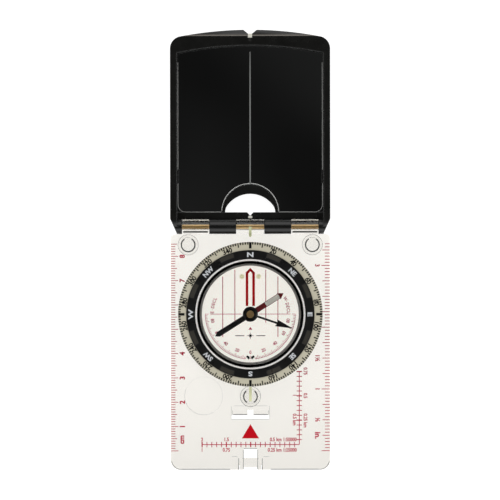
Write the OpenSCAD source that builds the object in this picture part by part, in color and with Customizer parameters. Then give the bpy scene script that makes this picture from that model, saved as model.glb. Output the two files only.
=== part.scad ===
// Mirror sighting compass: clear baseplate, turning liquid capsule and a hinged mirror cover.
// It lies open and flat on z = 0, cover toward +Y, scales readable from -Y.  Millimetres.

/* [Overall] */
// width of the baseplate and of the cover
body_w = 65.6; // [60:0.1:72]
// hinge axis to the front edge of the baseplate
plate_len = 99.9; // [92:0.1:110]
// hinge axis to the far edge of the cover
cover_len = 80.7; // [76:0.1:90]
// thickness of the closed compass
closed_h = 18; // [16:0.5:22]

/* [Baseplate] */
// thickness of the clear baseplate
plate_t = 3.5; // [2.5:0.1:4.5]
// how far the rubber feet stand out below the plate
foot_proud = 0.5; // [0.3:0.1:1]
// radius of each rubber foot
foot_r = 4.2; // [3:0.1:6]
// radius of the moulded magnifier lens
lens_r = 7.8; // [5:0.1:9]

/* [Dial] */
// hinge axis to the centre of the dial
dial_v = 35.9; // [34:0.1:38]
// outer radius of the turning bezel
dial_r = 29.65; // [27:0.05:29.8]
// radius of the through hole that the bezel turns in
well_r = 25.75; // [24:0.05:26]
// needle bearing, degrees clockwise from north
needle_heading = 57.8; // [0:0.1:360]
// clinometer pointer bearing, degrees clockwise from north
clino_heading = 108.7; // [0:0.1:360]

/* [Cover] */
// thickness of the mirror
mirror_t = 1.5; // [1:0.1:2.5]
// half width of the mirror
mirror_hw = 29.8; // [26:0.1:30]
// half width of the sight window
window_hw = 10.3; // [7:0.1:12]
// height of the sight window
window_h = 7.6; // [5:0.1:10]

/* [Hidden] */
$fn = 96;
e = 0.01;
hw = body_w / 2;
hy = (plate_len - cover_len) / 2;       // hinge axis, y
hz = closed_h / 2;                      // hinge axis, z
dy = hy - dial_v;                       // dial centre, y
pz0 = foot_proud;                       // underside of the plate
pz1 = foot_proud + plate_t;             // top of the plate
rim_z = closed_h - pz1 - 0.2;           // rim of the open cover
knuckle_r = 3;
pin_r = 1;
// clear knuckles of the plate and black barrels of the cover, [from, to] along x
plate_knuckles = [[-27.9, -16.9], [-5.65, 5.65], [16.9, 27.9]];
cover_barrels = [[-16.8, -5.75], [5.75, 16.8], [-30.15, -28], [28, 30.15]];
bar_w0 = 3.3;                           // hinge bar of the cover, measured from the axis
bar_w1 = 5.95;
floor_z = 2.2;                          // inside of the cover's back
mirror_z = floor_z + 0.5;
mirror_w1 = 74.2;                       // far edge of the mirror
cavity_hw = 30.1;
arch_r = 150.5;                         // radius of the cover's arched end
corner_r = 5;
// gear pair that shifts the orienting disc
disc_teeth = 168;
pinion_teeth = 12;
gear_c = 22.7;                          // centre distance
gear_m = 2 * gear_c / (disc_teeth + pinion_teeth);
pinion_at = 270;                        // where the pinion sits round the dial
foot_at = [[-25.55, 7.4], [25.55, 7.4], [0, 69.8]];

// ---- helpers -------------------------------------------------------------

// axis-aligned box given by two corners
module box(a, b) { translate(a) cube(b - a); }

// rectangle with its own radius on the two low-y and on the two high-y corners
module rrect(x, y0, y1, r0, r1) {
    translate([-x, y0 + r0]) square([2 * x, y1 - y0 - r0 - r1]);
    translate([-x + r0, y0]) square([2 * (x - r0), r0 + e]);
    translate([-x + r1, y1 - r1 - e]) square([2 * (x - r1), r1 + e]);
    for (s = [-1, 1]) {
        translate([s * (x - r0), y0 + r0]) circle(r = r0);
        translate([s * (x - r1), y1 - r1]) circle(r = r1);
    }
}

// part of the plate frame: v runs from the hinge axis toward the front edge
module vbox(x0, x1, v0, v1, z0, z1) { box([x0, hy - v1, z0], [x1, hy - v0, z1]); }

// cylinder along x on the hinge axis
module xcyl(r, x0, x1) {
    translate([x0, hy, hz]) rotate([0, 90, 0]) cylinder(r = r, h = x1 - x0);
}

module at_dial(z = 0) { translate([0, dy, z]) children(); }

module ring(r0, r1, z0, z1) {
    at_dial(z0) difference() {
        cylinder(r = r1, h = z1 - z0);
        translate([0, 0, -1]) cylinder(r = r0, h = z1 - z0 + 2);
    }
}

// gear outline, straight-flanked teeth
module gear2d(n, turn) {
    rp = gear_m * n / 2;
    polygon([for (k = [0 : n - 1]) for (c = [[-0.28, -1], [0.2, -1], [0.2, 1], [-0.28, 1]])
        let (r = rp + c[0], t = 0.32 - 0.72 * c[0],
             a = turn + k * 360 / n + c[1] * t / 2 / r * 180 / PI)
        [r * cos(a), r * sin(a)]]);
}

// ---- baseplate group -----------------------------------------------------

module plate_outline() {
    r = 4;
    translate([0, hy]) rrect(hw, -plate_len, -3.05, r, 1.5);
}

module baseplate() color([0.93, 0.92, 0.9, 0.4]) {
    difference() {
        union() {
            translate([0, 0, pz0]) linear_extrude(plate_t) plate_outline();
            for (k = plate_knuckles) {
                xcyl(knuckle_r, k[0], k[1]);
                vbox(k[0], k[1], -0.1, 3.2, pz0, hz);
            }
            vbox(-5.65, 5.65, 3, 5.3, pz1 - e, hz - 0.3);
        }
        // pin bore, sliding fit
        xcyl(pin_r + 0.03, -hw, hw);
        // well for the dial and its retaining ring
        at_dial(-1) cylinder(r = well_r, h = closed_h);
        at_dial(-1) cylinder(r = 27.3, h = 1 + pz0 + 0.85);
        // seat of the friction ring
        ring(26.75, 28.45, pz1 - 0.3, pz1 + 1);
        // foot sockets: flange recess and plug hole
        for (p = foot_at) translate([p[0], hy - p[1], -1]) {
            cylinder(r = foot_r, h = 1.5 + pz0);
            cylinder(r = 3.05, h = 3.5 + pz0);
        }
        // magnifier: a well that the lens dome fills
        translate([-19.2, hy - 69.5, pz1 - 0.9]) cylinder(r = lens_r, h = 3);
        // lanyard slot: neck and thinned tongues, then the open slot
        vbox(-7.8, 7.8, 77.4, 79.1, -1, closed_h);
        vbox(-1.2, 1.2, 75.3, 77.5, -1, closed_h);
        for (s = [-1, 1]) {
            vbox(s * 4.2 - 3.1, s * 4.2 + 3.1, 75.3, 77.5, pz0 + 1.7, closed_h);
        }
        // lanyard gate at the front edge
        translate([0, hy, -1]) linear_extrude(closed_h) rrect(2.75, -95.1, -91.3, 0.1, 0.6);
        vbox(-2.75, 2.75, 95, 98.9, pz0 + 1.9, closed_h);
        vbox(-2.75, 2.75, 98.9, 101, -1, closed_h);
        for (s = [-1, 1]) vbox(s * 4.55 - 0.15, s * 4.55 + 0.15, 98, 101, -1, closed_h);
        for (s = [-1, 1]) vbox(s * 6.55 - 1.15, s * 6.55 + 1.15, 94.2, 94.4, pz1 - 0.15, 9);
        // grooves of the luminous index lines
        index_front_cut();
        vbox(-0.55, 0.55, 65.8, 71.8, pz1 - 0.3, pz1 + 1);
    }
    // lens dome, flush with the plate
    lens_dome();
}

module lens_dome() {
    h = 0.9;
    r = (lens_r * lens_r + h * h) / (2 * h);
    translate([-19.2, hy - 69.5, pz1 - h - e]) intersection() {
        cylinder(r = lens_r + e, h = h + e);
        translate([0, 0, h - r]) sphere(r = r, $fn = 160);
    }
}

// a strip that wraps over the front quarter of the middle knuckle and onto its shelf
module index_strip(r1) {
    intersection() {
        difference() {
            xcyl(r1, -0.55, 0.55);
            xcyl(knuckle_r - 0.3, -1, 1);
        }
        vbox(-1, 1, 0, 3.6, hz - 0.3, hz + 4);
    }
}

module index_front_cut() {
    index_strip(knuckle_r + 0.5);
    vbox(-0.55, 0.55, 2.9, 3.8, hz - 0.6, hz);
    translate([0, 0, hz - 0.6]) linear_extrude(0.6) index_tip();
}

module index_tip() { polygon([[-0.55, hy - 3.79], [0, hy - 4.3], [0.55, hy - 3.79]]); }

module index_line_front() color([0.72, 0.74, 0.55]) {
    index_strip(knuckle_r);
    difference() {
        union() {
            vbox(-0.55, 0.55, 2.7, 3.8, hz - 0.6, hz - 0.3);
            translate([0, 0, hz - 0.6]) linear_extrude(0.3) index_tip();
        }
        vbox(-1, 1, 0, 2.9, 0, hz - 0.3);
    }
}

module index_line_rear() color([0.72, 0.74, 0.55])
    vbox(-0.55, 0.55, 65.8, 71.8, pz1 - 0.3, pz1);

module foot(p) translate([p[0], hy - p[1], 0]) {
    cylinder(r = foot_r - 0.05, h = pz0 + 0.44);
    cylinder(r = 3.02, h = pz0 + 2.44);
}

module foot_left() color([0.85, 0.85, 0.82, 0.6]) foot(foot_at[0]);
module foot_right() color([0.85, 0.85, 0.82, 0.6]) foot(foot_at[1]);
module foot_rear() color([0.85, 0.85, 0.82, 0.6]) foot(foot_at[2]);

module hinge_pin() color([0.72, 0.55, 0.3]) xcyl(pin_r, -30.6, 30.6);

module bezel_friction_ring() color([0.1, 0.1, 0.1]) ring(26.8, 28.4, pz1 - 0.3, pz1 + 0.38);

// ---- cover group ---------------------------------------------------------

// arched end with rounded corners; the arch runs a little past where the corners meet it
module cover_outline() {
    yc = cover_len - arch_r;
    xc = hw - corner_r;
    wc = yc + sqrt(pow(arch_r - corner_r, 2) - xc * xc);
    xt = xc * arch_r / (arch_r - corner_r) + 0.6;
    translate([-hw, bar_w0]) square([2 * hw, wc - bar_w0]);
    intersection() {
        translate([0, yc]) circle(r = arch_r, $fn = 720);
        translate([-xt, wc - 1]) square([2 * xt, 20]);
    }
    for (s = [-1, 1]) translate([s * xc, wc]) circle(r = corner_r);
}

// far end of the cavity and of the mirror follows the arch
module inner_outline(x, w0, w1, r) {
    intersection() {
        translate([0, w1 - arch_r]) circle(r = arch_r, $fn = 720);
        rrect(x, w0, w1 + 1, r, 2);
    }
}

// three-centred arch of the sight window
module window_outline() {
    r1 = 5;
    a = window_hw - r1;
    r2 = (a * a + window_h * window_h - r1 * r1) / (2 * (window_h - r1));
    xt = a * r2 / (r2 - r1);
    intersection() {
        union() {
            intersection() {
                translate([0, window_h - r2]) circle(r = r2, $fn = 200);
                translate([-xt, 0]) square([2 * xt, 20]);
            }
            for (s = [-1, 1]) translate([s * a, 0]) circle(r = r1);
        }
        translate([-20, 0]) square([40, 20]);
    }
}

module land_outline(g) {
    intersection() {
        circle(r = 11.5 + g, $fn = 160);
        translate([-20, 0]) square([40, 20]);
    }
}

// side profile that rounds the back edges
module cover_front_profile() {
    r = 2;
    translate([-hw, r]) square([2 * hw, closed_h]);
    translate([-hw + r, 0]) square([2 * (hw - r), r + e]);
    for (s = [-1, 1]) translate([s * (hw - r), r]) circle(r = r);
}

module cover_shell() color([0.06, 0.06, 0.06]) {
    difference() {
        union() {
            intersection() {
                translate([0, hy, 0]) linear_extrude(rim_z) cover_outline();
                translate([0, -10, 0]) rotate([90, 0, 180]) linear_extrude(120)
                    cover_front_profile();
            }
            // cove below each clear knuckle
            for (k = plate_knuckles)
                box([k[0] - 0.15, hy + 0.35, pz1 + 0.3], [k[1] + 0.15, hy + bar_w0 + 0.4, hz - 0.4]);
            // barrels, their arms and the cheeks
            for (b = cover_barrels) xcyl(knuckle_r, b[0], b[1]);
            for (b = cover_barrels)
                box([b[0], hy, hz - 2.6], [b[1], hy + bar_w0 + 0.4, hz - 0.2]);
            for (s = [0, 1]) mirror([s, 0, 0]) cheek();
        }
        // sloped lip along the far rim
        translate([-40, hy, 0]) rotate([90, 0, 90]) linear_extrude(80)
            polygon([[78.2, rim_z + 0.01], [81.7, rim_z - 1.6], [81.7, rim_z + 1]]);
        // cavity over the mirror
        translate([0, hy, mirror_z + mirror_t]) linear_extrude(20)
            inner_outline(cavity_hw, bar_w1, mirror_w1 + 0.2, 1);
        // recess for the mirror and its pad, leaving the raised land round the window
        translate([0, hy, floor_z]) linear_extrude(mirror_t + 0.6) difference() {
            inner_outline(mirror_hw + 0.1, bar_w1, mirror_w1 + 0.1, 3.3);
            translate([0, bar_w1 - e]) land_outline(0);
        }
        // low hinge bar
        box([-cavity_hw, hy + bar_w0 - 0.1, hz], [cavity_hw, hy + bar_w1 + 0.2, 20]);
        // sight window and the notch below it
        translate([0, hy + bar_w1, -1]) linear_extrude(20) window_outline();
        translate([0, hy + bar_w1, -1]) linear_extrude(20)
            polygon([[-1.28, e], [-0.12, -1.3], [0.12, -1.3], [1.28, e]]);
        // sight notch in the far rim, and the aiming mark inside it
        translate([0, hy + cover_len, -1]) linear_extrude(20)
            polygon([[-2.75, 0.1], [-2.7, -0.05], [-0.9, -1.6], [0.9, -1.6], [2.7, -0.05],
                [2.75, 0.1]]);
        translate([0, hy + 76.5, rim_z - 0.4]) cylinder(r = 0.35, h = 2);
        // bead seats
        translate([0, hy, rim_z - 1]) linear_extrude(2) bead_front(0);
        translate([0, hy, hz - 0.8]) linear_extrude(2) bead_rear(0);
        // pin bore, running fit
        xcyl(pin_r + 0.05, -hw, hw);
        // clearance round the clear knuckles
        for (k = plate_knuckles) xcyl(knuckle_r + 0.2, k[0] - 0.1, k[1] + 0.1);
    }
    // lugs that hold the edges of the mirror
    for (s = [-1, 1]) box([s * 29.75 - 0.4, hy + 18.2, mirror_z + mirror_t + 0.05],
        [s * 29.75 + 0.4, hy + 23.2, mirror_z + mirror_t + 1]);
}

// web that blends the outer barrel into the side wall
module cheek() {
    intersection() {
        translate([0, hy, -1]) linear_extrude(20)
            polygon([[cavity_hw, -2.75], [hw, bar_w0], [hw, bar_w0 + 1], [cavity_hw, bar_w0 + 1]]);
        translate([cavity_hw - 1, hy, 0]) rotate([90, 0, 90]) linear_extrude(10) union() {
            translate([0, hz]) circle(r = knuckle_r);
            polygon([[0, hz - 2.9], [bar_w0, 2.2], [bar_w0 + 1, 2.2], [bar_w0 + 1, rim_z],
                [bar_w0, rim_z], [0, hz + 2.9]]);
        }
    }
}

module bead_front(g) {
    translate([-0.88 + g, 77.4 + g]) square([1.76 - 2 * g, 1.7 - 2 * g]);
}

module bead_rear(g) {
    for (s = [-1, 1]) translate([s * 0.35, 4.0]) circle(r = 0.58 - g);
    translate([-0.35, 4.0 - 0.58 + g]) square([0.7, 1.16 - 2 * g]);
}

module mirror_adhesive_pad() color([0.8, 0.8, 0.78])
    translate([0, hy, floor_z]) linear_extrude(mirror_z - floor_z) difference() {
        inner_outline(mirror_hw - 3, bar_w1 + 3, mirror_w1 - 3, 3);
        translate([0, bar_w1 - e]) land_outline(1.5);
    }

module mirror_glass() color([0.75, 0.78, 0.8])
    translate([0, hy, mirror_z]) linear_extrude(mirror_t) difference() {
        inner_outline(mirror_hw, bar_w1, mirror_w1, 3.2);
        translate([0, bar_w1 - e]) land_outline(0.1);
    }

module front_sight_bead() color([0.8, 0.8, 0.72])
    translate([0, hy, rim_z - 1]) linear_extrude(1) bead_front(0);

module rear_sight_bead() color([0.8, 0.8, 0.72])
    translate([0, hy, hz - 0.8]) linear_extrude(0.85) bead_rear(0);

// ---- dial group, turns in the plate --------------------------------------

bz0 = pz1 + 0.4;                        // underside of the bezel flange
seat_z = 9.0;                           // seat of the degree ring
bezel_top = 10.4;
gear_z0 = 1.25;
gear_z1 = 2.05;
base_z0 = 2.15;                         // capsule floor
base_z1 = 3.1;
wall_z1 = 9.7;                          // top of the capsule wall

module bezel_ring() color([0.07, 0.07, 0.07]) at_dial() difference() {
    union() {
        // skirt through the well
        translate([0, 0, 1.2]) cylinder(r = well_r - 0.06, h = bz0);
        // grip with vertical scallops
        translate([0, 0, bz0]) linear_extrude(seat_z - bz0) difference() {
            circle(r = dial_r - 0.1);
            for (a = [0 : 6 : 354]) rotate(a) translate([dial_r + 0.35, 0]) circle(r = 0.8, $fn = 24);
        }
        translate([0, 0, bz0]) cylinder(r = 26.25, h = bezel_top - bz0);
    }
    // capsule bore, gear space, crystal seat
    translate([0, 0, 0]) cylinder(r = 21.7, h = 20);
    translate([0, 0, 9.3]) cylinder(r = 22.7, h = 20);
    // shallow panels between the compass points
    for (k = [0 : 7]) rotate(22.5 + 45 * k - 6.7) translate([0, 0, bezel_top - 0.3])
        rotate_extrude(angle = 13.4) translate([24.2, 0]) square([1.75, 1]);
    // pinion pocket and shaft hole
    rotate(pinion_at) translate([gear_c, 0, 0]) {
        cylinder(r = 1.85, h = gear_z1 + 0.1);
        cylinder(r = 0.64, h = 4.8);
    }
}

module degree_ring() color([0.72, 0.7, 0.62]) at_dial() rotate_extrude()
    polygon([[26.3, seat_z], [dial_r, seat_z], [dial_r, 9.6], [29.1, 10.1], [26.3, 10.1]]);

module bezel_retaining_ring() color([0.07, 0.07, 0.07]) at_dial(0.6) difference() {
    cylinder(r = 27, h = 0.6);
    translate([0, 0, -1]) cylinder(r = 20.6, h = 3);
    rotate(pinion_at) translate([gear_c, 0, -1]) cylinder(r = 0.88, h = 3);
}

module capsule_base() color([0.93, 0.93, 0.92, 0.4]) at_dial() difference() {
    union() {
        translate([0, 0, base_z0]) cylinder(r = 21.65, h = base_z1 - base_z0);
        translate([0, 0, gear_z0]) cylinder(r = 1.5, h = 1);
    }
    translate([0, 0, base_z0]) cylinder(r = 0.7, h = 5);
}

module capsule_wall() color([0.05, 0.05, 0.05]) at_dial() rotate_extrude()
    polygon([[19.9, base_z1], [21.65, base_z1], [21.65, wall_z1], [20.8, wall_z1],
        [20.8, base_z1 + 1.2], [19.9, base_z1 + 0.3]]);

module crystal_seal_ring() color([0.85, 0.85, 0.85]) ring(21.9, 22.35, 9.3, wall_z1 - 0.04);

module capsule_crystal() color([0.95, 0.96, 0.97, 0.3]) at_dial() rotate_extrude()
    polygon([[0, wall_z1], [22.6, wall_z1], [22.6, 10.5], [22.2, 10.9], [0, 10.9]]);

module pivot_post() color([0.75, 0.58, 0.3]) at_dial() {
    translate([0, 0, base_z0]) cylinder(r = 0.7, h = 4.1);
    translate([0, 0, base_z1]) cylinder(r = 1.5, h = 0.3);
    translate([0, 0, 6.25 - e]) cylinder(r1 = 0.7, r2 = 0.08, h = 1.05);
}

module clinometer_collar() color([0.75, 0.58, 0.3]) ring(0.7, 1.2, 4.35, 4.75);

// ---- orienting disc and its adjusting screw ------------------------------

module orienting_disc() color([0.93, 0.93, 0.92, 0.4]) at_dial(gear_z0) difference() {
    linear_extrude(gear_z1 - gear_z0) gear2d(disc_teeth, pinion_at + 180 / disc_teeth);
    translate([0, 0, -1]) cylinder(r = 1.56, h = 3);
}

module declination_screw() color([0.75, 0.58, 0.3])
    at_dial() rotate(pinion_at) translate([gear_c, 0, 0]) difference() {
        union() {
            translate([0, 0, gear_z0]) linear_extrude(gear_z1 - gear_z0)
                gear2d(pinion_teeth, 180);
            translate([0, 0, gear_z1 - e]) cylinder(r = 0.6, h = 2.6);
            translate([0, 0, 0.65]) cylinder(r = 0.82, h = 0.7);
        }
        box([-1, -0.17, 0], [1, 0.17, 0.95]);
    }

// ---- needle and clinometer, both turn about the pivot --------------------

blade_z = 6.9;

module turned(heading) at_dial() rotate(-heading) children();

module needle_blade() color([0.35, 0.03, 0.05]) turned(needle_heading)
    translate([0, 0, blade_z]) linear_extrude(0.25) difference() {
        union() {
            circle(r = 2.9);
            translate([-1.1, 0]) square([2.2, 14]);
            polygon([[-1.5, 13.8], [1.5, 13.8], [0.1, 16], [-0.1, 16]]);
            polygon([[-1.1, 0], [-1.1, -15.5], [0, -17.1], [1.1, -15.5], [1.1, 0]]);
        }
        circle(r = 1.1);
    }

module needle_lume_strip() color([0.85, 0.85, 0.8]) turned(needle_heading)
    translate([-0.9, 7.45, blade_z + 0.25]) cube([1.8, 6.5, 0.12]);

module needle_cap() color([0.05, 0.05, 0.05]) turned(needle_heading)
    translate([0, 0, blade_z + 0.25]) rotate_extrude()
        polygon([[1.5, 0], [3.13, 0], [3.13, 0.35], [2.7, 0.75], [1.5, 0.75]]);

module needle_magnet() color([0.45, 0.45, 0.47]) turned(needle_heading)
    translate([0, 0, blade_z - 1.2]) difference() {
        cylinder(r = 2.9, h = 1.2);
        translate([0, 0, -1]) cylinder(r = 1.3, h = 4);
    }

module needle_jewel() color([0.75, 0.58, 0.3]) turned(needle_heading)
    translate([0, 0, blade_z - 0.6]) difference() {
        union() {
            cylinder(r = 1.1, h = 1.2);
            translate([0, 0, 0.85]) cylinder(r = 1.5, h = 0.85);
        }
        translate([0, 0, -e]) cylinder(r1 = 1, r2 = 0.15, h = 1.06);
    }

module clinometer_pointer() color([0.04, 0.04, 0.04]) turned(clino_heading)
    translate([0, 0, 3.46]) difference() {
        union() {
            cylinder(r = 1.7, h = 0.8);
            translate([0, 0, 0.2]) linear_extrude(0.4) {
                translate([-0.42, 0]) square([0.84, 12]);
                polygon([[-0.42, 11.6], [-1.45, 11.1], [-1.22, 12.5], [0, 18.5], [1.22, 12.5],
                    [1.45, 11.1], [0.42, 11.6]]);
            }
        }
        translate([0, 0, -1]) cylinder(r = 0.76, h = 4);
    }

// ---- what to draw --------------------------------------------------------

baseplate();
foot_left();
foot_right();
foot_rear();
index_line_front();
index_line_rear();
hinge_pin();
bezel_friction_ring();
cover_shell();
mirror_glass();
mirror_adhesive_pad();
front_sight_bead();
rear_sight_bead();
bezel_ring();
degree_ring();
bezel_retaining_ring();
capsule_base();
capsule_wall();
crystal_seal_ring();
capsule_crystal();
pivot_post();
clinometer_collar();
orienting_disc();
declination_screw();
needle_blade();
needle_lume_strip();
needle_cap();
needle_magnet();
needle_jewel();
clinometer_pointer();
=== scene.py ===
"""Looks for the mirror sighting compass.

Materials for the CAD nodes, the printed scales and letters, stage, light and camera.
Lengths are in mm unless a name or a comment says otherwise; MM turns them into metres.
"""
import math

import bmesh
import bpy
from mathutils import Matrix, Vector


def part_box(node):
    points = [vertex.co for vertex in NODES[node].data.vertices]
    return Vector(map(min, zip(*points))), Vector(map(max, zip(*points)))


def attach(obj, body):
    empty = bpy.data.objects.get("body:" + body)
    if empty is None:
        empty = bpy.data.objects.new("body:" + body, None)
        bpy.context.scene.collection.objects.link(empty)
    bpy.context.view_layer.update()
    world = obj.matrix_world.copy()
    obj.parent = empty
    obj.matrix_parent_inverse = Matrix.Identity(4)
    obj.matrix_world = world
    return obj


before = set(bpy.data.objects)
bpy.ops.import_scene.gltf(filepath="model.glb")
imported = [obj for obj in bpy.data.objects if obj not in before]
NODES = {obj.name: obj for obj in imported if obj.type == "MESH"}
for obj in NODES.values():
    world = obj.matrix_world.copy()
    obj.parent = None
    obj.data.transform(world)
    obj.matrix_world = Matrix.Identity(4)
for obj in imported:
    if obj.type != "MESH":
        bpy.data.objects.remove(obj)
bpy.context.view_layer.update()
MM = 0.001


def mid(node):
    low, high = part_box(node)
    return (low + high) / 2


def top(node):
    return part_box(node)[1].z / MM


HINGE_Y = mid("hinge_pin").y / MM          # hinge axis
DIAL = mid("degree_ring") / MM             # centre of the dial
FEET_TO_PLATE_TOP = 4.0
PLATE_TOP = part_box("foot_left")[0].z / MM + FEET_TO_PLATE_TOP
PRINT = 0.02                               # thickness of printed ink
LIFT = 0.002                               # gap between a printed mark and its surface
OVER = 0.004                               # extra lift where one mark crosses another


# ---------------------------------------------------------------- materials
def new_material(name):
    m = bpy.data.materials.new(name)
    m.use_nodes = True
    nt = m.node_tree
    return m, nt, nt.nodes["Principled BSDF"]


def principled(material):
    return material.node_tree.nodes["Principled BSDF"]


def noise(nt, scale, detail, rough=0.5):
    tc = nt.nodes.new("ShaderNodeTexCoord")
    n = nt.nodes.new("ShaderNodeTexNoise")
    n.inputs["Scale"].default_value = scale
    n.inputs["Detail"].default_value = detail
    n.inputs["Roughness"].default_value = rough
    nt.links.new(tc.outputs["Object"], n.inputs["Vector"])
    return n.outputs["Fac"]


def vary(nt, fac, a, b, socket, low=0.3, high=0.7):
    """Colour that runs between a and b as fac goes from low to high."""
    r = nt.nodes.new("ShaderNodeValToRGB")
    r.color_ramp.elements[0].position, r.color_ramp.elements[0].color = low, (*a, 1)
    r.color_ramp.elements[1].position, r.color_ramp.elements[1].color = high, (*b, 1)
    nt.links.new(fac, r.inputs["Fac"])
    nt.links.new(r.outputs["Color"], socket)


def spread(nt, fac, low, high, socket):
    """Number that runs between low and high with a noise."""
    m = nt.nodes.new("ShaderNodeMapRange")
    m.inputs["From Min"].default_value, m.inputs["From Max"].default_value = 0.3, 0.7
    m.inputs["To Min"].default_value, m.inputs["To Max"].default_value = low, high
    nt.links.new(fac, m.inputs["Value"])
    nt.links.new(m.outputs["Result"], socket)


def bump(nt, b, fac, height, strength, edge):
    """Fine relief height metres deep; edge rounds the look of sharp edges."""
    n = nt.nodes.new("ShaderNodeBump")
    n.inputs["Strength"].default_value = strength
    n.inputs["Distance"].default_value = height
    nt.links.new(fac, n.inputs["Height"])
    if edge:
        soft = nt.nodes.new("ShaderNodeBevel")
        soft.samples = 6
        soft.inputs["Radius"].default_value = edge * MM
        nt.links.new(soft.outputs["Normal"], n.inputs["Normal"])
    nt.links.new(n.outputs["Normal"], b.inputs["Normal"])


GRAIN_DEPTH = 0.00003                      # metres


def plastic(name, dark, light, rough, grain=2500.0, strength=0.35, edge=0.0):
    """Moulded plastic: fine spark-eroded grain, slow colour drift, uneven sheen."""
    m, nt, b = new_material(name)
    vary(nt, noise(nt, 60, 3), dark, light, b.inputs["Base Color"])
    spread(nt, noise(nt, 180, 4), rough * 0.85, rough * 1.15, b.inputs["Roughness"])
    bump(nt, b, noise(nt, grain, 2, 0.6), GRAIN_DEPTH, strength, edge)
    return m


def along(nt, axis, low, high, stops, socket):
    """Colours that follow one another along an axis of the piece, from low to high in mm."""
    tc = nt.nodes.new("ShaderNodeTexCoord")
    sep = nt.nodes.new("ShaderNodeSeparateXYZ")
    nt.links.new(tc.outputs["Object"], sep.inputs[0])
    span = nt.nodes.new("ShaderNodeMapRange")
    span.inputs["From Min"].default_value = low * MM
    span.inputs["From Max"].default_value = high * MM
    nt.links.new(sep.outputs[axis], span.inputs["Value"])
    ramp = nt.nodes.new("ShaderNodeValToRGB")
    for i, (place, colour) in enumerate(stops):
        e = ramp.color_ramp.elements[i] if i < 2 else ramp.color_ramp.elements.new(place)
        e.position, e.color = place, (*colour, 1)
    nt.links.new(span.outputs["Result"], ramp.inputs["Fac"])
    nt.links.new(ramp.outputs["Color"], socket)


def clear(name, tint, ior, edge=0.0, fade=()):
    """Clear plastic; fade scales the tint at the front edge and at the hinge."""
    m, nt, b = new_material(name)
    b.inputs["Base Color"].default_value = (*tint, 1)
    if fade:
        along(nt, "Y", HINGE_Y - 100.0, HINGE_Y,
              [(0.0, [c * fade[0] for c in tint]), (1.0, [c * fade[1] for c in tint]), (0.4, tint)],
              b.inputs["Base Color"])
    b.inputs["Transmission Weight"].default_value = 1.0
    b.inputs["IOR"].default_value = ior
    b.inputs["Roughness"].default_value = 0.0
    if edge:
        bump(nt, b, noise(nt, 45, 1), 0.00001, 0.1, edge)
    return m


def metal(name, dark, light, rough):
    m, nt, b = new_material(name)
    b.inputs["Metallic"].default_value = 1.0
    vary(nt, noise(nt, 400, 3), dark, light, b.inputs["Base Color"])
    spread(nt, noise(nt, 900.0, 4), rough * 0.94, rough * 1.06, b.inputs["Roughness"])
    return m


def ink(name, colour):
    """Printing ink: nearly matt, with a slightly uneven coat."""
    m, nt, b = new_material(name)
    light = tuple(min(1.0, c * 1.15) for c in colour)
    vary(nt, noise(nt, 1500, 2), colour, light, b.inputs["Base Color"])
    b.inputs["Roughness"].default_value = 0.5
    b.inputs["Specular IOR Level"].default_value = 0.12
    return m


def glow(material, colour, strength):
    b = principled(material)
    b.inputs["Emission Color"].default_value = (*colour, 1)
    b.inputs["Emission Strength"].default_value = strength


def by_height(material, z, low, high, blend):
    """One base colour below a height in the piece's own space, another above it."""
    nt = material.node_tree
    tc = nt.nodes.new("ShaderNodeTexCoord")
    sep = nt.nodes.new("ShaderNodeSeparateXYZ")
    nt.links.new(tc.outputs["Object"], sep.inputs[0])
    r = nt.nodes.new("ShaderNodeMapRange")
    r.inputs["From Min"].default_value = (z - blend) * MM
    r.inputs["From Max"].default_value = (z + blend) * MM
    nt.links.new(sep.outputs["Z"], r.inputs["Value"])
    vary(nt, r.outputs["Result"], low, high, principled(material).inputs["Base Color"], 0.0, 1.0)


CLEAR_FADE = (0.903, 1.035)
ACRYLIC = clear("clear_acrylic", (0.904, 0.883, 0.837), 1.49, edge=0.3, fade=CLEAR_FADE)
CAPSULE = clear("capsule_clear", (0.98, 0.968, 0.94), 1.06)
CRYSTAL = clear("crystal_clear", (0.98, 0.972, 0.955), 1.49)
SILICONE = clear("foot_silicone", (1.0, 0.998, 0.99), 1.40, edge=0.25)
COVER = plastic("cover_plastic", (0.0042, 0.0042, 0.0038), (0.0066, 0.0066, 0.006), 0.26,
                strength=0.12, edge=0.4)
BEZEL = plastic("bezel_plastic", (0.0025, 0.0025, 0.0024), (0.0045, 0.0045, 0.0043), 0.28,
                strength=0.15)
BEZEL_TOP = plastic("bezel_top_plastic", (0.0045, 0.0045, 0.0043), (0.007, 0.007, 0.0068), 0.3,
                    strength=0.15, edge=0.2)
# painted sheen: below its top face the bezel ring, with the floors of its grip recesses, is coloured a
# paler brown
by_height(BEZEL_TOP, top("bezel_ring") - 0.15, (0.036, 0.033, 0.027), (0.0045, 0.0045, 0.0043), 0.1)
WALL = plastic("capsule_wall_plastic", (0.004, 0.004, 0.004), (0.007, 0.007, 0.007), 0.35)
by_height(WALL, 4.5, (0.36, 0.355, 0.34), (0.004, 0.004, 0.004), 0.6)


LIP_START, LIP_END, LIP_DEPTH = 78.1, 79.3, 1.7    # distances from the hinge axis; depth below the rim


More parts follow.
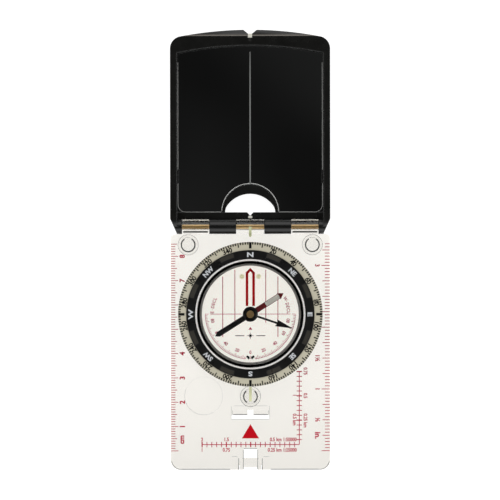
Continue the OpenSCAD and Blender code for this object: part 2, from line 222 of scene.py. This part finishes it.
def lip_sheen(material):
    """Painted highlight: the sloped lip at the cover's far end is coloured paler along its inner edge,
    where it catches the light.
    """
    nt, b = material.node_tree, principled(material)
    body = b.inputs["Base Color"].links[0].from_socket
    mix = nt.nodes.new("ShaderNodeMix")
    mix.data_type = "RGBA"
    share, rest, sheen_colour = mix.inputs[0], mix.inputs[6], mix.inputs[7]
    along(nt, "Y", HINGE_Y + LIP_START, HINGE_Y + LIP_END,
          [(0.0, (0.005, 0.005, 0.0045)), (1.0, (0.005, 0.005, 0.0045)),
           (0.06, (0.2, 0.185, 0.165)), (0.3, (0.12, 0.11, 0.098)),
           (0.5, (0.055, 0.05, 0.045)), (0.85, (0.012, 0.012, 0.011))],
          sheen_colour)
    rim = top("front_sight_bead")
    along(nt, "Z", rim - LIP_DEPTH, rim - LIP_DEPTH + 0.1, [(0.0, (0, 0, 0)), (1.0, (1, 1, 1))], share)
    nt.links.new(body, rest)
    nt.links.new(mix.outputs[2], b.inputs["Base Color"])


lip_sheen(COVER)
LUME_RING = plastic("luminous_ring", (0.455, 0.425, 0.325), (0.51, 0.48, 0.37), 0.5, 4000.0)
LUME_GREEN = plastic("luminous_line", (0.76, 0.78, 0.46), (0.82, 0.84, 0.52), 0.5, 4000.0)
LUME_SHADE = plastic("luminous_line_shade", (0.48, 0.5, 0.28), (0.54, 0.56, 0.33), 0.5, 4000.0)
LUME_BEAD = plastic("luminous_bead", (0.58, 0.57, 0.5), (0.68, 0.67, 0.6), 0.45, 4000.0)
LUME_STRIP = plastic("needle_luminous", (0.72, 0.71, 0.65), (0.82, 0.81, 0.75), 0.45, 4000.0)
RUBBER = plastic("black_rubber", (0.01, 0.01, 0.01), (0.02, 0.02, 0.02), 0.7)
FOAM = plastic("adhesive_foam", (0.55, 0.55, 0.52), (0.62, 0.62, 0.6), 0.9)
BRASS = metal("brass", (0.56, 0.38, 0.17), (0.62, 0.43, 0.2), 0.4)
MAGNET = metal("magnet_steel", (0.2, 0.2, 0.21), (0.28, 0.28, 0.29), 0.4)
# painted highlight: the seal ring is near white and glows faintly, standing in for the bright ring at
# the crystal's edge
SEAL_HIGHLIGHT = plastic("seal_painted_highlight", (0.93, 0.92, 0.91), (0.97, 0.96, 0.95), 0.35)
glow(SEAL_HIGHLIGHT, (0.9, 0.88, 0.87), 0.3)
NEEDLE_BLACK = plastic("needle_black", (0.004, 0.004, 0.004), (0.008, 0.008, 0.008), 0.3)



def mirror_silver():
    m, nt, b = new_material("mirror_silver")
    b.inputs["Metallic"].default_value = 1.0
    b.inputs["Roughness"].default_value = 0.015
    vary(nt, noise(nt, 25, 2), (0.80, 0.82, 0.81), (0.84, 0.86, 0.85), b.inputs["Base Color"])
    return m


def painted_needle(heading):
    """Red north half, black south half, split across the needle's own middle."""
    m, nt, b = new_material("needle_paint")
    tc = nt.nodes.new("ShaderNodeTexCoord")
    dot = nt.nodes.new("ShaderNodeVectorMath")
    dot.operation = "DOT_PRODUCT"
    a = math.radians(heading)
    d = Vector((math.sin(a), math.cos(a), 0))
    dot.inputs[1].default_value = d
    nt.links.new(tc.outputs["Object"], dot.inputs[0])
    step = nt.nodes.new("ShaderNodeMath")
    step.operation = "GREATER_THAN"
    step.inputs[1].default_value = d.dot(Vector((DIAL.x, DIAL.y, 0))) * MM
    nt.links.new(dot.outputs["Value"], step.inputs[0])
    vary(nt, step.outputs[0], (0.005, 0.005, 0.005), (0.17, 0.008, 0.012),
         b.inputs["Base Color"], 0.4, 0.6)
    spread(nt, noise(nt, 700, 3), 0.3, 0.42, b.inputs["Roughness"])
    return m


NEEDLE_HEADING = 57.8                      # degrees clockwise from the plate's far end
CLEAR_FINISH = {
    "baseplate": ACRYLIC, "foot_left": SILICONE, "foot_right": SILICONE, "foot_rear": SILICONE,
    "capsule_base": CAPSULE, "orienting_disc": CAPSULE, "capsule_crystal": CRYSTAL,
}
SOLID_FINISH = {
    "index_line_front": LUME_SHADE, "index_line_rear": LUME_GREEN, "hinge_pin": BRASS,
    "bezel_friction_ring": RUBBER, "cover_shell": COVER, "mirror_glass": mirror_silver(),
    "mirror_adhesive_pad": FOAM, "front_sight_bead": LUME_BEAD, "rear_sight_bead": LUME_BEAD,
    "bezel_ring": BEZEL_TOP, "degree_ring": LUME_RING, "bezel_retaining_ring": BEZEL,
    "capsule_wall": WALL, "crystal_seal_ring": SEAL_HIGHLIGHT, "pivot_post": BRASS,
    "clinometer_collar": BRASS, "declination_screw": BRASS,
    "needle_blade": painted_needle(NEEDLE_HEADING), "needle_lume_strip": LUME_STRIP,
    "needle_cap": NEEDLE_BLACK, "needle_magnet": MAGNET, "needle_jewel": BRASS,
    "clinometer_pointer": NEEDLE_BLACK,
}
# width of the real bevel on the pieces that have one; the others only get split normals
BEVEL_MM = {
    "mirror_glass": 0.1, "bezel_ring": 0.12,
    "degree_ring": 0.08, "needle_blade": 0.03, "clinometer_pointer": 0.05,
    "front_sight_bead": 0.15, "rear_sight_bead": 0.2, "needle_jewel": 0.08, "needle_cap": 0.08,
    "foot_left": 0.15, "foot_right": 0.15, "foot_rear": 0.15, "capsule_crystal": 0.08,
}
SHARP = math.radians(35)
for name, material in {**CLEAR_FINISH, **SOLID_FINISH}.items():
    o = NODES[name]
    for s in o.material_slots:
        s.material = material
    if not o.material_slots:
        o.data.materials.append(material)
    for poly in o.data.polygons:
        poly.use_smooth = True
    weld = o.modifiers.new("weld", "WELD")
    weld.merge_threshold = 2e-6
    flat = o.modifiers.new("flat", "DECIMATE")
    flat.decimate_type = "DISSOLVE"
    flat.angle_limit = math.radians(0.4)
    if name in BEVEL_MM:
        bevel = o.modifiers.new("edges", "BEVEL")
        bevel.width = BEVEL_MM[name] * MM
        bevel.segments = 2
        bevel.limit_method = "ANGLE"
        bevel.angle_limit = SHARP
        bevel.use_clamp_overlap = True
    else:
        split = o.modifiers.new("sharp", "EDGE_SPLIT")
        split.split_angle = SHARP
    o.modifiers.new("normals", "WEIGHTED_NORMAL")


# ---------------------------------------------------------------- printing
class Print:
    """Collects printed marks, in mm, and makes one thin mesh of them."""

    def __init__(self, name, body, material, slot):
        self.name, self.body, self.material, self.slot = name, body, material, slot
        self.bm = bmesh.new()

    def prism(self, points, z):
        """Flat mark; points are (x, y) or (x, y, dz), anticlockwise seen from above."""
        low = [self.bm.verts.new((p[0] * MM, p[1] * MM, (z + (p[2] if len(p) > 2 else 0)) * MM))
               for p in points]
        high = [self.bm.verts.new(v.co + Vector((0, 0, PRINT * MM))) for v in low]
        self.bm.faces.new(high)
        self.bm.faces.new(low[::-1])
        n = len(low)
        for i in range(n):
            self.bm.faces.new((low[i], low[(i + 1) % n], high[(i + 1) % n], high[i]))

    def rect(self, x0, x1, y0, y1, z):
        x0, x1, y0, y1 = min(x0, x1), max(x0, x1), min(y0, y1), max(y0, y1)
        self.prism([(x0, y0), (x1, y0), (x1, y1), (x0, y1)], z)

    def bar(self, r0, r1, width, heading, z, drop=None):
        """Radial mark at a compass heading about the dial's centre.

        drop: the radius where the surface starts to fall, and its slope.
        """
        a = math.radians(heading)
        out, side = (math.sin(a), math.cos(a)), (math.cos(a), -math.sin(a))
        stops = [r0, r1] if drop is None or r1 <= drop[0] else [r0, max(r0, drop[0]), r1]
        stops = [r for i, r in enumerate(stops) if i == 0 or r > stops[i - 1] + 1e-6]

        def fall(r):
            return 0.0 if drop is None or r <= drop[0] else -(r - drop[0]) * drop[1]

        def at(r, s):
            return (DIAL.x + out[0] * r + side[0] * s, DIAL.y + out[1] * r + side[1] * s, fall(r))

        for p, q in zip(stops, stops[1:]):
            self.prism([at(p, width / 2), at(q, width / 2),
                        at(q, -width / 2), at(p, -width / 2)], z)

    def disc(self, x, y, r, z):
        n = 28
        self.prism([(x + r * math.cos(2 * math.pi * i / n), y + r * math.sin(2 * math.pi * i / n))
                    for i in range(n)], z)

    def annulus(self, r0, r1, h0, h1, z, n):
        """Ring sector between headings h0 and h1 about the dial's centre."""
        for i in range(n):
            a, b = (math.radians(h0 + (h1 - h0) * (i + k) / n) for k in (0, 1))
            q = [(r1, a), (r0, a), (r0, b), (r1, b)]
            self.prism([(DIAL.x + r * math.sin(t), DIAL.y + r * math.cos(t)) for r, t in q], z)

    def arc(self, x, y, r, width, h0, h1, z):
        """Curved line about (x, y) between headings h0 and h1."""
        n = max(6, int(abs(h1 - h0) / 7))
        for i in range(n):
            a, b = (math.radians(h0 + (h1 - h0) * (i + k) / n) for k in (0, 1))
            q = [(r + width / 2, a), (r - width / 2, a), (r - width / 2, b), (r + width / 2, b)]
            self.prism([(x + k * math.sin(t), y + k * math.cos(t)) for k, t in q], z)

    def text(self, words, x, y, height, angle, z, bold=0.0, align="CENTER", squeeze=1.0):
        """Words whose capitals are height mm tall, centred on (x, y), turned anticlockwise."""
        c = bpy.data.curves.new("letters", "FONT")
        c.body, c.size, c.offset = words, height / 0.73, bold
        c.extrude = PRINT / 2
        c.align_x, c.align_y = align, "CENTER"
        c.resolution_u = 4
        o = bpy.data.objects.new("letters", c)
        bpy.context.scene.collection.objects.link(o)
        bpy.context.view_layer.update()
        mesh = bpy.data.meshes.new_from_object(
            o.evaluated_get(bpy.context.evaluated_depsgraph_get()))
        ys = [v.co.y for v in mesh.vertices]
        shift = (max(ys) + min(ys)) / 2
        a = math.radians(angle)
        m = (Matrix.Translation((x * MM, y * MM, (z + PRINT / 2) * MM))
             @ Matrix.Rotation(a, 4, "Z")
             @ Matrix.Diagonal((MM * squeeze, MM, MM, 1))
             @ Matrix.Translation((0, -shift, 0)))
        mesh.transform(m)
        self.bm.from_mesh(mesh)
        bpy.data.objects.remove(o)
        bpy.data.curves.remove(c)
        bpy.data.meshes.remove(mesh)

    def done(self):
        mesh = bpy.data.meshes.new(self.name)
        bmesh.ops.recalc_face_normals(self.bm, faces=self.bm.faces)
        self.bm.to_mesh(mesh)
        self.bm.free()
        o = bpy.data.objects.new(self.name, mesh)
        bpy.context.scene.collection.objects.link(o)
        mesh.materials.append(self.material)
        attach(o, self.body)
        return o


def v(distance):
    """Row y of a distance from the hinge axis toward the front edge."""
    return HINGE_Y - distance


RED = ink("scale_ink_red", (0.40, 0.003, 0.032))
BRIGHT_RED = ink("arrow_ink_red", (0.46, 0.0006, 0.007))
ARROW_RED = ink("orienting_ink_red", (0.82, 0.001, 0.008))
BLACK_INK = ink("dial_ink_black", (0.004, 0.004, 0.004))
WHITE_INK = ink("dial_ink_white", (0.50, 0.52, 0.54))
LUME_DOT = ink("luminous_dot_ink", (0.97, 0.95, 0.68))
# the dots are luminous paint; their glow is painted light that lifts them where little light reaches
# under the crystal
glow(LUME_DOT, (0.9, 0.88, 0.58), 0.42)
GREY_INK = ink("sighting_ink_grey", (0.17, 0.175, 0.17))
EDGE_GREY = ink("mirror_edge_grey", (0.62, 0.62, 0.6))
# the two line inks below paint shade: dark and grey lines for the edges, feet and knuckles of the
# clear plate
SHADE_LINE_GREY = ink("painted_shade_line_grey", (0.16, 0.16, 0.15))
SHADE_LINE_DARK = ink("painted_shade_line_dark", (0.05, 0.05, 0.047))

HALF_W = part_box("baseplate")[1].x / MM
ZERO_V = 92.12                     # zero of the rulers
EDGE = 0.15                        # the rulers start this far in from the plate's edge
LEFT_LABELS, RIGHT_LABELS = -28.0, 27.6
zp = PLATE_TOP + LIFT

cm = Print("centimetre_scale", "base", RED, "clear_acrylic")
for i in range(0, 86):
    length = 3.0 if i % 10 == 0 else 2.5 if i % 5 == 0 else 1.8
    x, y = -HALF_W + EDGE, v(ZERO_V - i)
    cm.rect(x, x + length, y - 0.14, y + 0.14, zp)
for d in (1, 2, 3, 4, 7, 8):
    cm.text(str(d), LEFT_LABELS, v(ZERO_V - 10 * d), 2.1, 90, zp, 0.11)
cm.text("cm", LEFT_LABELS, v(87.5), 2.1, 90, zp, 0.12, squeeze=1.02)
cm.done()

INCH = 25.4
inch = Print("inch_scale", "base", RED, "clear_acrylic")
for i in range(0, 68):
    length = 3.4 if i % 20 == 0 else 3.0 if i % 5 == 0 else 2.0
    y = v(ZERO_V - i * INCH / 20)
    inch.rect(HALF_W - EDGE - length, HALF_W - EDGE, y - 0.155, y + 0.155, zp)
for label, n in (("\u00bd", 0.5), ("1", 1.0), ("1\u00bd", 1.5), ("3", 3.0)):
    inch.text(label, RIGHT_LABELS, v(ZERO_V - n * INCH), 1.8, -90, zp, 0.1, squeeze=0.9)
inch.text("in.", RIGHT_LABELS, v(85.8), 2.25, -90, zp, 0.12)
inch.done()

romer = Print("map_scale", "base", RED, "clear_acrylic")
CORNER = (20.1, 89.55)             # x, and distance from the hinge axis
STEP, TICK, LINE = 2, 1.1, 0.16    # tick spacing, half length of a tick, half width of a line
romer.rect(CORNER[0] - 40, CORNER[0], v(CORNER[1]) - LINE, v(CORNER[1]) + LINE, zp + OVER)
romer.rect(CORNER[0] - LINE, CORNER[0] + LINE, v(CORNER[1]), v(CORNER[1] - 30),
           zp + OVER + LIFT)
for i in range(1, 21):
    x = CORNER[0] - STEP * i
    w = 0.24 if i in (10, 15, 20) else LINE
    romer.rect(x - w, x + w, v(CORNER[1]) - TICK, v(CORNER[1]) + TICK, zp)
for i in range(1, 16):
    y = v(CORNER[1] - STEP * i)
    w = 0.24 if i in (5, 10, 15) else LINE
    romer.rect(CORNER[0] - TICK, CORNER[0] + TICK, y - w, y + w, zp)
for words, x, d, align in (("2", -19.9, 87.45, "CENTER"), ("1.5", -9.9, 87.45, "CENTER"),
                           ("0.5 km 1:50000", 19.0, 87.45, "RIGHT"), ("1", -19.9, 91.75, "CENTER"),
                           ("0.75", -9.9, 91.75, "CENTER"),
                           ("0.25 km 1:25000", 19.0, 91.75, "RIGHT")):
    romer.text(words, x, v(d), 1.5, 0, zp, 0.065, align, 0.86)
for words, x, d in (("0.75", 22.65, 59.4), ("0.5", 22.65, 69.5), ("0.25 km", 22.65, 79.7),
                    ("1", 18.2, 69.3), ("0.5 km", 18.2, 79.3)):
    romer.text(words, x, v(d), 1.5, -90, zp, 0.065, squeeze=0.86)
romer.done()

tri = Print("direction_triangle", "base", BRIGHT_RED, "clear_acrylic")
tri.prism([(-3.53, v(87.02)), (3.53, v(87.02)), (0, v(81.17))], zp)
tri.done()

# degree ring: ticks, bearings and compass points
zr = top("degree_ring") + LIFT
CHAMFER = (29.1, 0.5 / 0.55)       # where the ring's edge starts to fall, and how steeply
ticks = Print("degree_ticks", "bezel", BLACK_INK, "lume_cream")
for a in range(0, 360, 2):
    if a % 90 == 0:
        ticks.bar(27.0, 29.6, 1.05, a, zr, CHAMFER)
    else:
        r0, width = (27.7, 0.46) if a % 10 == 0 else (28.6, 0.58)
        ticks.bar(r0, 29.65, width, a, zr, CHAMFER)
ticks.done()
BEARING_R, POINT_R, LABEL_R = 27.45, 24.45, 15.75    # radii of the dial's three rings of letters
bearings = Print("degree_numbers", "bezel", BLACK_INK, "lume_cream")
for a in range(20, 360, 20):
    if a != 180:
        t = math.radians(a)
        bearings.text(str(a), DIAL.x + BEARING_R * math.sin(t), DIAL.y + BEARING_R * math.cos(t),
                      2.0, -a, zr + OVER, 0.09, squeeze=0.98)
bearings.done()
points = Print("compass_points", "bezel", WHITE_INK, "bezel_black")
for i, words in enumerate(("N", "NE", "E", "SE", "S", "SW", "W", "NW")):
    t = math.radians(45 * i)
    points.text(words, DIAL.x + POINT_R * math.sin(t), DIAL.y + POINT_R * math.cos(t),
                1.93, -45 * i, top("bezel_ring") + 0.002, 0.09, squeeze=(1.42, 1.03)[i % 2])
points.done()

# capsule floor: meridian lines, a small red pointer, and the declination and clinometer scale
zc = top("capsule_base") + LIFT
FINE_RED = ink("capsule_ink_red", (0.62, 0.05, 0.12))
meridians = Print("meridian_lines", "bezel", FINE_RED, "capsule_clear")
for x, y0, y1 in ((6.35, -3.5, 18.2), (11.35, -9.4, 15.4)):
    for s in (-1, 1):
        meridians.rect(DIAL.x + s * x - 0.16, DIAL.x + s * x + 0.16, DIAL.y + y0, DIAL.y + y1, zc)
for s in (-1, 1):
    meridians.rect(DIAL.x + s * 3.6, DIAL.x + s * 16.5, DIAL.y - 0.12, DIAL.y + 0.12, zc + OVER)
meridians.prism([(DIAL.x - 0.8, DIAL.y - 6.4), (DIAL.x + 0.8, DIAL.y - 6.4),
                 (DIAL.x, DIAL.y - 5.3)], zc)
meridians.done()
decl = Print("declination_scale", "bezel", FINE_RED, "capsule_clear")
decl.annulus(18.45, 18.62, 90, 174, zc + OVER, 42)
decl.annulus(18.45, 18.62, 186, 270, zc + OVER, 42)
for a in range(90, 271, 2):
    if 0 < abs(a - 180) < 6:
        continue
    decl.bar(17.1 if a % 10 == 0 else 17.7, 18.5, 0.2, a, zc)
for n in range(0, 81, 20):
    for s in ((-1, 1) if n else (1,)):
        t = math.radians(180 - s * n)
        decl.text(str(n), DIAL.x + LABEL_R * math.sin(t), DIAL.y + LABEL_R * math.cos(t), 1.4,
                  s * n, zc, 0.05, squeeze=0.9)
for words, s in (("E.DECL", -1), ("W.DECL", 1)):
    for k, letter in enumerate(words):
        a = s * 77 + (k - 2.5) * 4.2
        t = math.radians(a)
        decl.text(letter, DIAL.x + LABEL_R * math.sin(t), DIAL.y + LABEL_R * math.cos(t),
                  1.35, -a, zc, 0.05, squeeze=0.9)
decl.done()

# small compass rose with a bar on each side, below the hub
rose = Print("dial_emblem", "bezel", BLACK_INK, "capsule_clear")
ex, ey = DIAL.x, DIAL.y - 8.9
star = []
for k in range(16):
    r = (1.75, 0.42, 0.95, 0.42)[k % 4]
    a = math.radians(90 + 22.5 * k)
    star.append((ex + r * math.cos(a), ey + r * math.sin(a)))
rose.prism(star, zc)
for s in (-1, 1):
    rose.rect(ex + s * 2.5, ex + s * 6.2, ey - 0.16, ey + 0.16, zc)
rose.done()

# orienting disc: outlined arrow, two luminous dots, index marks at its tail
zo = top("orienting_disc") + LIFT
arrow = Print("orienting_arrow", "orienting_disc", ARROW_RED, "capsule_clear")
for s in (-1, 1):
    arrow.rect(DIAL.x + s * 0.82, DIAL.x + s * 1.9, DIAL.y + 3.3, DIAL.y + 17.1, zo)
    pts = [(DIAL.x + s * 1.9, DIAL.y + 17.1), (DIAL.x, DIAL.y + 19.0), (DIAL.x, DIAL.y + 17.6),
           (DIAL.x + s * 0.82, DIAL.y + 16.7), (DIAL.x + s * 0.82, DIAL.y + 17.1)]
    arrow.prism(pts if s > 0 else pts[::-1], zo + OVER)
arrow.done()
dots = Print("orienting_dots", "orienting_disc", LUME_DOT, "lume_cream")
for s in (-1, 1):
    dots.disc(DIAL.x + s * 3.43, DIAL.y + 15.47, 1.0, zo)
dots.done()
marks = Print("declination_index", "orienting_disc", BLACK_INK, "capsule_clear")
for s in (-1, 1):
    pts = [(DIAL.x + s * x, DIAL.y - y) for x, y in
           ((0.25, 18.3), (0.75, 18.7), (1.75, 17.6), (1.35, 17.0), (0.35, 17.5))]
    marks.prism(pts if s > 0 else pts[::-1], zo)
marks.done()

# sighting line on the mirror
zm = top("mirror_glass") + LIFT
line = Print("sighting_line", "cover", GREY_INK, "mirror_silver")
line.rect(-0.26, 0.26, HINGE_Y + 17.7, HINGE_Y + 72.0, zm)
line.done()

# pale cut edge of the mirror: round the window, down the sides (broken by the lugs), along the
# hinge side and round its two corners
edge = Print("mirror_cut_edge", "cover", EDGE_GREY, "mirror_silver")
GLASS_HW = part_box("mirror_glass")[1].x / MM
gx, gw, r = GLASS_HW - 0.12, 6.1, 3.1
edge.arc(0, HINGE_Y + gw, 11.75, 0.16, -89, 89, zm)
for s in (-1, 1):
    for w0, w1 in ((gw + r, 17.9), (23.5, 67.6)):
        edge.rect(s * gx - 0.07, s * gx + 0.07, HINGE_Y + w0, HINGE_Y + w1, zm)
    edge.rect(s * 11.9, s * (gx - r), HINGE_Y + gw - 0.08, HINGE_Y + gw + 0.08, zm)
    for k in range(10):
        a, b = (math.radians(9.0 * (k + j)) for j in (0, 1))
        pts = [(s * (gx - r + q * math.sin(t)), HINGE_Y + gw + r - q * math.cos(t))
               for q, t in ((r - 0.08, a), (r + 0.08, a), (r + 0.08, b), (r - 0.08, b))]
        edge.prism(pts if s > 0 else pts[::-1], zm)
edge.done()

# painted shade: dark and grey lines on the clear plate that stand in for the dark lines that
# refraction and shadow draw round the feet, the lens rim, the lanyard recess, the gate and the front
# edge
zl = PLATE_TOP + 0.003
dark = Print("painted_foot_rim_shade", "base", SHADE_LINE_DARK, "clear_rubber")
pale = Print("painted_edge_shade_lines", "base", SHADE_LINE_GREY, "clear_acrylic")
for name in ("foot_left", "foot_right", "foot_rear"):
    c = mid(name) / MM
    spans = ((38, 150), (210, 322)) if name == "foot_rear" else ((32, 328),)
    for h0, h1 in spans:
        dark.arc(c.x, c.y, 2.78, 0.48, h0, h1, zl)
    pale.arc(c.x, c.y, 4.2, 0.1, *((34, 326) if name == "foot_rear" else (0, 360)), zl)
for s in (-1, 1):
    # thinned tongues over the lanyard slot
    dark.rect(s * 1.3, s * 7.1, v(77.38), v(77.1), zl - 1.8)
    pale.rect(s * 7.34, s * 7.46, v(77.3), v(75.5), zl)
    pale.rect(s * 7.82, s * 7.92, v(79.0), v(73.7), zl)
    pale.rect(s * 1.6, s * 7.0, v(73.68), v(73.6), zl)
    # gate posts
    for x, a, b in ((2.83, 91.8, 99.7), (4.75, 95.2, 99.8), (3.05, 95.1, 95.3)):
        pale.rect(s * x, s * (x + 0.22), v(a), v(b), zl)
    dark.rect(s * 4.7, s * 5.02, v(98.6), v(99.8), zl + OVER)
    pale.rect(s * 5.4, s * 7.7, v(94.55), v(94.45), zl)
    # front edge and its corners
    pale.rect(s * 8.4, s * 28.4, v(99.88), v(99.55), zl)
    pale.arc(s * 28.4, v(95.7), 4.07, 0.24, s * 100, s * 178, zl)
pale.rect(-2.7, 2.7, v(91.32), v(91.1), zl)
pale.rect(-7.8, 7.8, v(79.3), v(79.2), zl)
LENS = (-19.2, v(69.5))
pale.arc(LENS[0], LENS[1], 7.8, 0.08, 150, 290, zl)
pale.arc(LENS[0], LENS[1], 7.8, 0.04, -70, 150, zl)
dark.done()
pale.done()

# painted shade: a dark band along the front of the two outer knuckles, standing in for the dark line
# that refraction draws there
KNUCKLE_R, SHADE_BAND = 3, (2.45, 1.75)  # radius, and the painted band's two edges as distances from the axis
knuckle_shade_print = Print("painted_knuckle_shade", "base", SHADE_LINE_DARK, "clear_acrylic")
for x0, x1 in ((-27.5, -17.3), (17.3, 27.5)):
    rise = [math.sqrt(KNUCKLE_R * KNUCKLE_R - q * q) for q in SHADE_BAND]
    knuckle_shade_print.prism([(x0, v(SHADE_BAND[0]), rise[0]), (x1, v(SHADE_BAND[0]), rise[0]), (x1, v(SHADE_BAND[1]), rise[1]),
                (x0, v(SHADE_BAND[1]), rise[1])], mid("hinge_pin").z / MM + 0.03)
knuckle_shade_print.done()

# ---------------------------------------------------------------- stage
floor_mesh = bpy.data.meshes.new("floor")
F = 4.0                            # half side of the floor, metres
floor_mesh.from_pydata([(-F, -F, 0), (F, -F, 0), (F, F, 0), (-F, F, 0)], [], [(0, 1, 2, 3)])
floor = bpy.data.objects.new("floor", floor_mesh)
floor.location.z = -0.05 * MM      # clear of the feet, so that the faces don't coincide
bpy.context.scene.collection.objects.link(floor)
fm, _, fb = new_material("floor_white")
fb.inputs["Base Color"].default_value = (0.34, 0.34, 0.34, 1)
fb.inputs["Roughness"].default_value = 0.9
fb.inputs["Specular IOR Level"].default_value = 0.0
fb.inputs["Emission Color"].default_value = (1, 1, 1, 1)
fb.inputs["Emission Strength"].default_value = 0.93
floor_mesh.materials.append(fm)

world = bpy.data.worlds.new("studio")
bpy.context.scene.world = world
world.use_nodes = True
wnt = world.node_tree
tc = wnt.nodes.new("ShaderNodeTexCoord")
sep = wnt.nodes.new("ShaderNodeSeparateXYZ")
ramp = wnt.nodes.new("ShaderNodeValToRGB")
wnt.links.new(tc.outputs["Generated"], sep.inputs[0])
wnt.links.new(sep.outputs["Z"], ramp.inputs["Fac"])
# bright all round at eye level, dark below and overhead, so that a flat mirror looks black from above
stops = ramp.color_ramp.elements
stops[0].position, stops[0].color = 0.0, (0.12, 0.12, 0.12, 1)
stops[1].position, stops[1].color = 0.5, (1.45, 1.45, 1.45, 1)
for pos, val in ((0.08, 0.22), (0.3, 1.45), (0.80, 1.45), (0.9, 0.03), (1.0, 0.0)):
    stops.new(pos).color = (val, val, val, 1)
# faint uneven light on top of it
soft = wnt.nodes.new("ShaderNodeTexNoise")
soft.inputs["Scale"].default_value = 28.0
soft.inputs["Detail"].default_value = 1.0
wnt.links.new(tc.outputs["Generated"], soft.inputs["Vector"])
dim = wnt.nodes.new("ShaderNodeMapRange")
dim.inputs["From Min"].default_value, dim.inputs["From Max"].default_value = 0.35, 0.65
dim.inputs["To Min"].default_value, dim.inputs["To Max"].default_value = 0.006, 0.0135
wnt.links.new(soft.outputs["Fac"], dim.inputs["Value"])
add = wnt.nodes.new("ShaderNodeVectorMath")
add.operation = "ADD"
wnt.links.new(ramp.outputs["Color"], add.inputs[0])
wnt.links.new(dim.outputs["Result"], add.inputs[1])
wnt.links.new(add.outputs["Vector"], wnt.nodes["Background"].inputs["Color"])
wnt.nodes["Background"].inputs["Strength"].default_value = 1.0

# ---------------------------------------------------------------- camera
FRAME_MM = 500 / 2.436             # width of the frame at the object's height
HEIGHT = 0.008                     # height above the floor at which it holds, metres
cam_data = bpy.data.cameras.new("camera")
cam_data.lens, cam_data.sensor_width = 400, 36
distance = FRAME_MM * MM * cam_data.lens / cam_data.sensor_width
cam = bpy.data.objects.new("camera", cam_data)
cam.location = (-0.0001, 0.00005, distance + HEIGHT)
cam.rotation_euler.z = -0.0012
cam_data.clip_end = 20
bpy.context.scene.collection.objects.link(cam)
bpy.context.scene.camera = cam
bpy.context.scene.view_settings.view_transform = "Standard"
bpy.context.scene.view_settings.look = "None"
